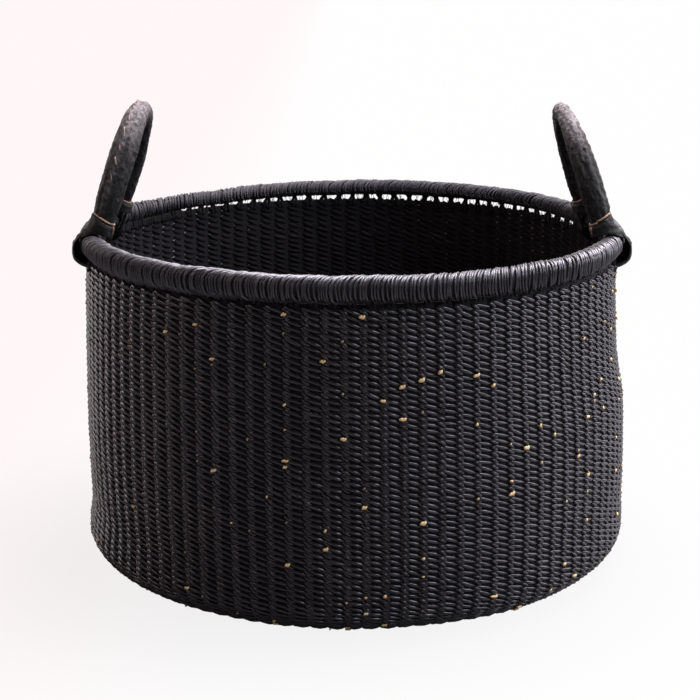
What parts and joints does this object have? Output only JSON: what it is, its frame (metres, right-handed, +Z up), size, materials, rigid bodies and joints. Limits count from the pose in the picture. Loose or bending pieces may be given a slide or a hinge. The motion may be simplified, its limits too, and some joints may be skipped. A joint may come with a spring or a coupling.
{
  "type": "hamper basket",
  "caption": "Round open hamper basket of black twined grass, with a wrapped rim and a pair of leather-covered handles that swing on straps.",
  "frame": {"origin": "middle of the underside of the base, on the surface that the basket stands on", "axes": "+Z up through the open mouth, the two handles stand at +X and -X, and the picture's front is at -Y"},
  "size_m": [0.4938, 0.494, 0.4164],
  "materials": {
    "dyed_grass": "satin black-dyed grass, twined, with flecks of undyed straw",
    "rim_grass": "satin black-dyed grass, overcast round the rim",
    "grass_bundle": "matt bundled grass stems",
    "black_leather": "semi-matt black goat leather, creased",
    "natural_thread": "dull waxed natural thread"
  },
  "bodies": {
    "basket": {"base_weave": "dyed_grass", "wall_weave": "dyed_grass", "stake_ring": "grass_bundle", "rim_wrap": "rim_grass"},
    "handle_right": {"handle_core_right": "grass_bundle", "handle_cover_right": "black_leather", "handle_lacing_right": "natural_thread", "foot_strap_right_front": "black_leather", "foot_collar_right_front": "black_leather", "collar_thread_right_front": "natural_thread", "collar_stitch_right_front": "natural_thread", "foot_strap_right_back": "black_leather", "foot_collar_right_back": "black_leather", "collar_thread_right_back": "natural_thread", "collar_stitch_right_back": "natural_thread"},
    "handle_left": {"handle_core_left": "grass_bundle", "handle_cover_left": "black_leather", "handle_lacing_left": "natural_thread", "foot_strap_left_front": "black_leather", "foot_collar_left_front": "black_leather", "collar_thread_left_front": "natural_thread", "collar_stitch_left_front": "natural_thread", "foot_strap_left_back": "black_leather", "foot_collar_left_back": "black_leather", "collar_thread_left_back": "natural_thread", "collar_stitch_left_back": "natural_thread"}
  },
  "joints": [
    {"name": "handle_right_swing", "type": "hinge", "parent": "basket", "child": "handle_right", "pos_m": [0.22852, 0, 0.29575], "axis": [0, 1, 0], "range_deg": [-60, 110]},
    {"name": "handle_left_swing", "type": "hinge", "parent": "basket", "child": "handle_left", "pos_m": [-0.22852, 0, 0.29575], "axis": [0, -1, 0], "range_deg": [-60, 110]}
  ]
}
